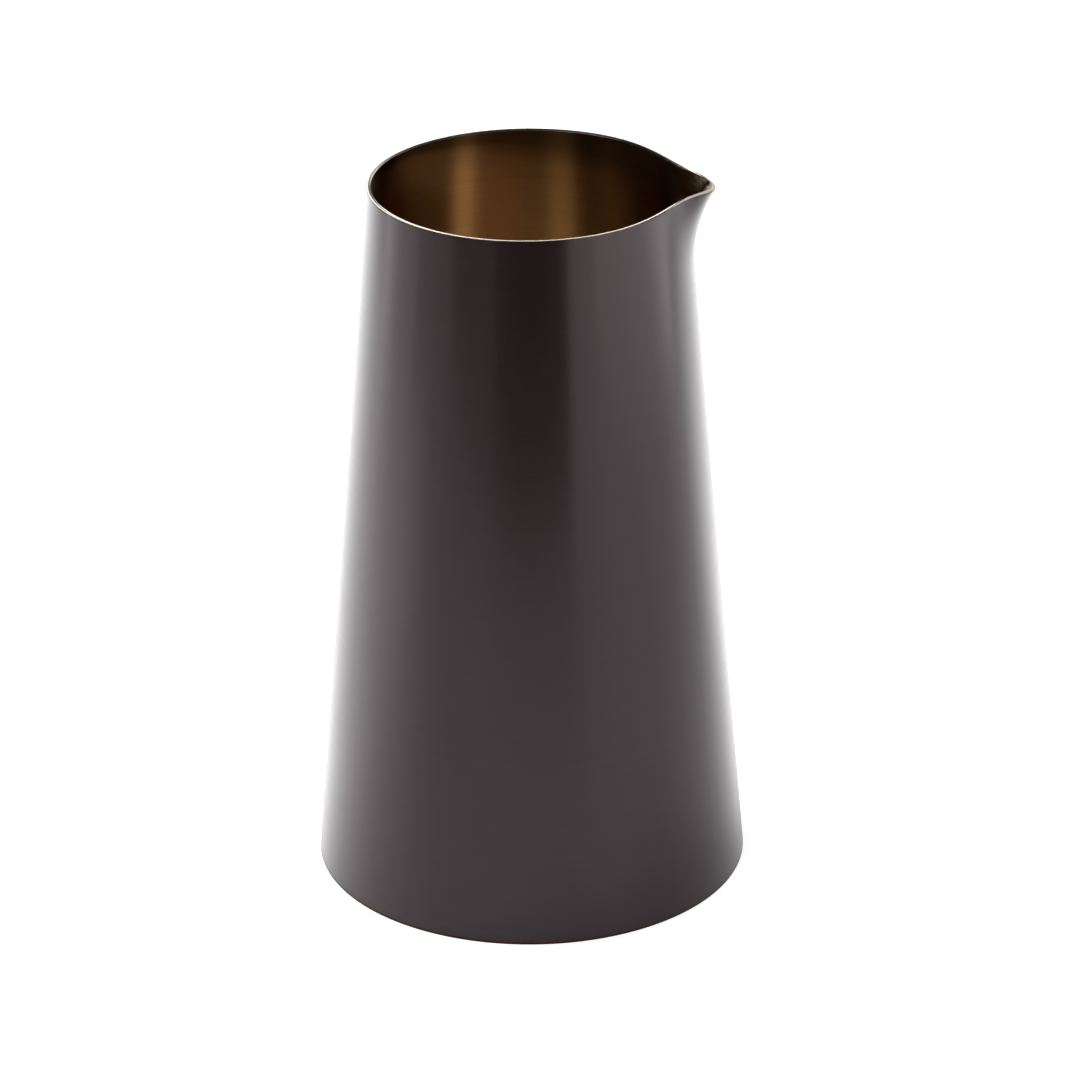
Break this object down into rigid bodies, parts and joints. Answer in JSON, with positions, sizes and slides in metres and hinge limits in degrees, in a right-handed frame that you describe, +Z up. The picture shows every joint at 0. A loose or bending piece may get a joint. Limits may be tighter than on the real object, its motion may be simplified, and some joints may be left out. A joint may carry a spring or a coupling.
{
  "type": "creamer",
  "caption": "Tapered, handle-less metal creamer with a narrow mouth, a pressed pouring lip and a recessed base soldered in from below.",
  "frame": {"origin": "centre of the foot circle, on the table", "axes": "+Z up along the jug's axis, +X towards the pouring lip"},
  "size_m": [0.0754, 0.0754, 0.1251],
  "materials": {
    "dark_bronze": "dark bronze, satin",
    "brushed_bronze": "bronze, brushed round the axis",
    "solder": "solder, satin, under the same bronze finish"
  },
  "bodies": {
    "root": {"wall": "dark_bronze", "base": "brushed_bronze", "base_solder": "solder"}
  },
  "joints": []
}
